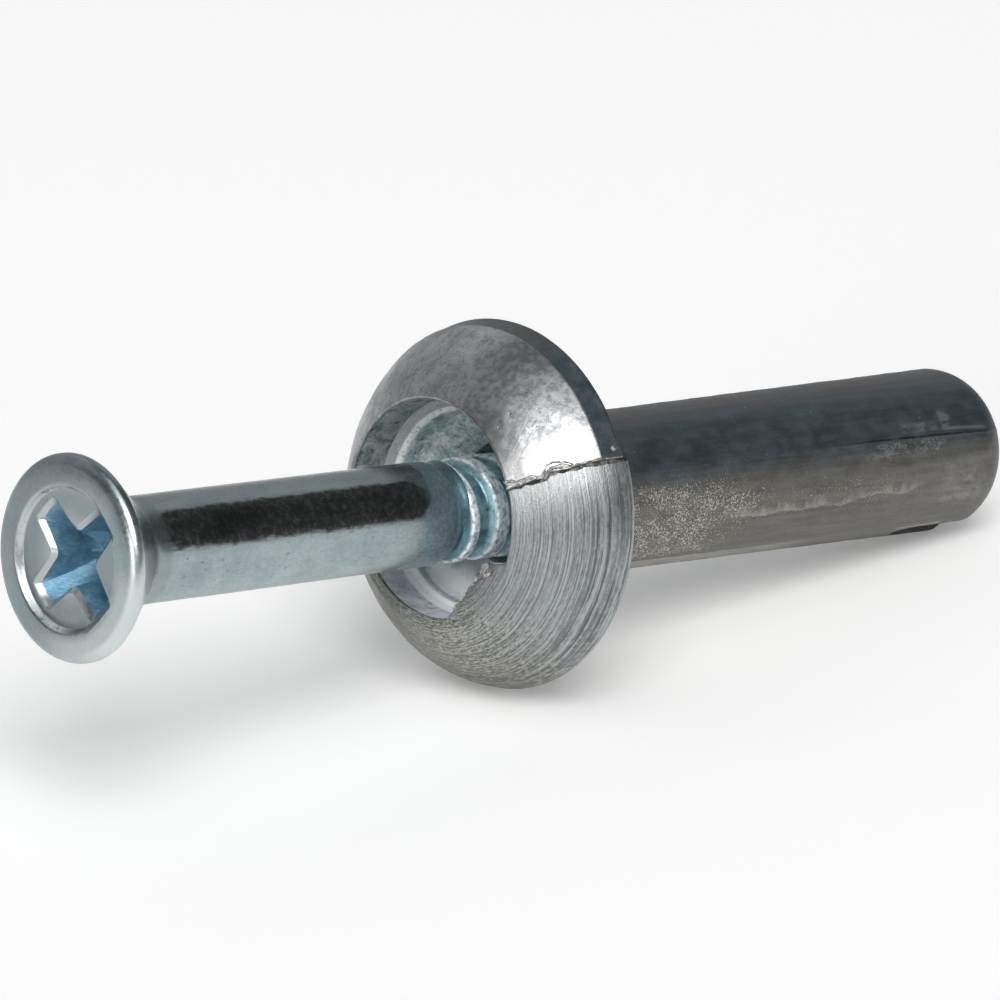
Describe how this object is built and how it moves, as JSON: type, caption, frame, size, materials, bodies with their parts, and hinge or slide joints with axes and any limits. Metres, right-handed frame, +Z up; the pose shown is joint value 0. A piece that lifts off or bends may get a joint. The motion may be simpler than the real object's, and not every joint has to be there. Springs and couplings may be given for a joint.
{
  "type": "screw-in expansion anchor",
  "caption": "Mushroom-head expansion anchor cast in zinc alloy, with a slit shank and a countersunk cross-recess drive screw standing part of the way out.",
  "frame": {"origin": "middle of the footprint, on the surface that the part lies on", "axes": "+X along the length, from the screw's head to the casting's tip; +Z up; -Y is the side seen in front"},
  "size_m": [0.0496, 0.0146, 0.0144],
  "materials": {
    "zinc_casting": "dull as-cast zinc alloy, bright where rubbed, with fine turned rings on one half of the head",
    "plated_steel": "satin blue-grey zinc plating"
  },
  "bodies": {
    "anchor": {"anchor_body": "zinc_casting"},
    "screw": {"drive_screw": "plated_steel"}
  },
  "joints": [
    {"name": "drive", "type": "slide", "parent": "anchor", "child": "screw", "axis": [0.988, 0, -0.1542], "range_m": [0, 0.01987]}
  ]
}
